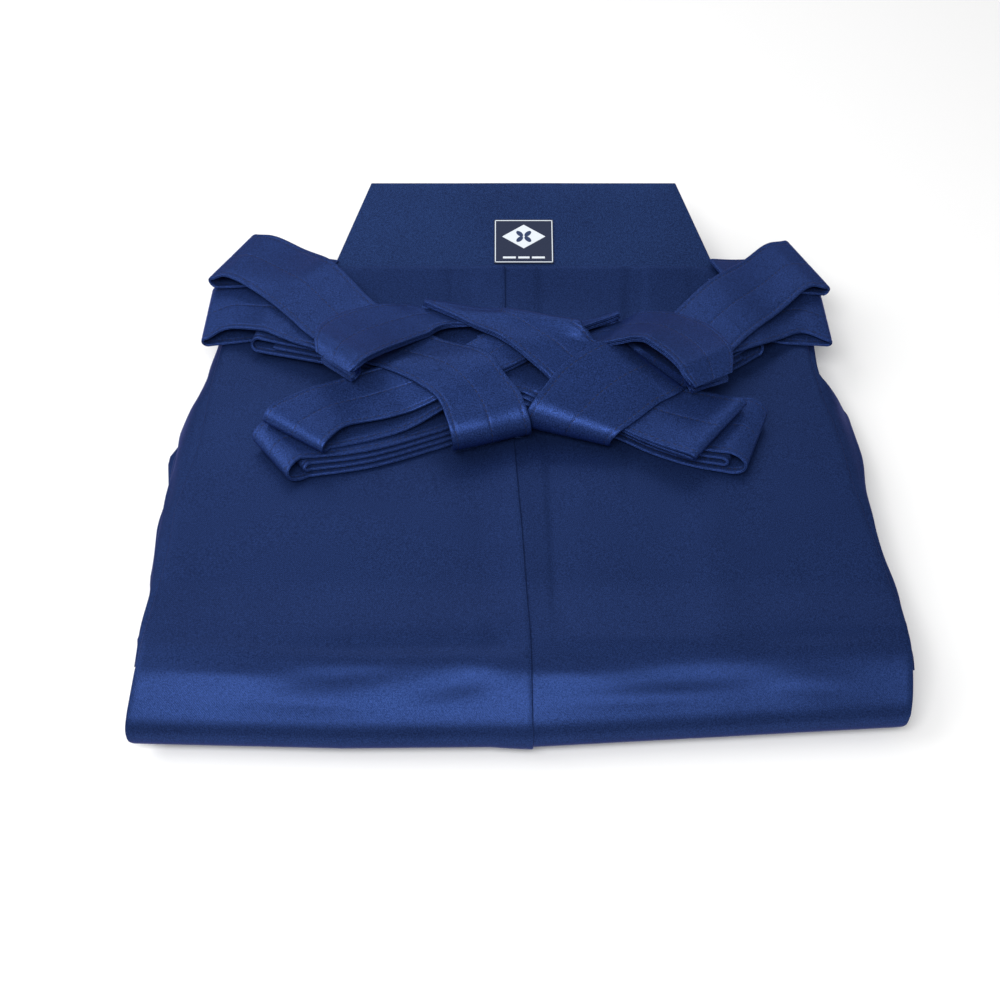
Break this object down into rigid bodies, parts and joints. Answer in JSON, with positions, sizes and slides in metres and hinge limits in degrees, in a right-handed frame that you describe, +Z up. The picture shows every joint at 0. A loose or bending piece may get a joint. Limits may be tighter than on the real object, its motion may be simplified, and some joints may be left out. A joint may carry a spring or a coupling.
{
  "type": "folded hakama trousers",
  "caption": "Wide pleated trousers folded flat into a low rounded stack, stiff trapezoid back board standing out behind, waist straps folded to and fro and crossed on top.",
  "frame": {"origin": "middle of the footprint, on the surface that the folded garment lies on", "axes": "+X across the garment, to the right as seen from its near fold; +Y from the near fold to the back board; +Z up"},
  "size_m": [0.413, 0.3892, 0.0699],
  "materials": {
    "navy_cloth": "satin twill with a soft sheen",
    "strap_cloth": "satin twill, stitched along the edges",
    "label_cloth": "woven label"
  },
  "bodies": {
    "root": {"folded_legs": "navy_cloth", "back_panel_left": "navy_cloth", "back_panel_right": "navy_cloth", "front_panel_left": "navy_cloth", "front_panel_right": "navy_cloth", "back_board": "navy_cloth", "label": "label_cloth", "front_strap_corner_left": "strap_cloth", "front_strap_corner_right": "strap_cloth", "front_strap_band_left": "strap_cloth", "front_strap_band_right": "strap_cloth", "front_strap_flap_left": "strap_cloth", "strap_bundle_lower": "strap_cloth", "strap_bundle_upper": "strap_cloth", "rear_strap_left": "strap_cloth", "rear_strap_right": "strap_cloth"}
  },
  "joints": []
}
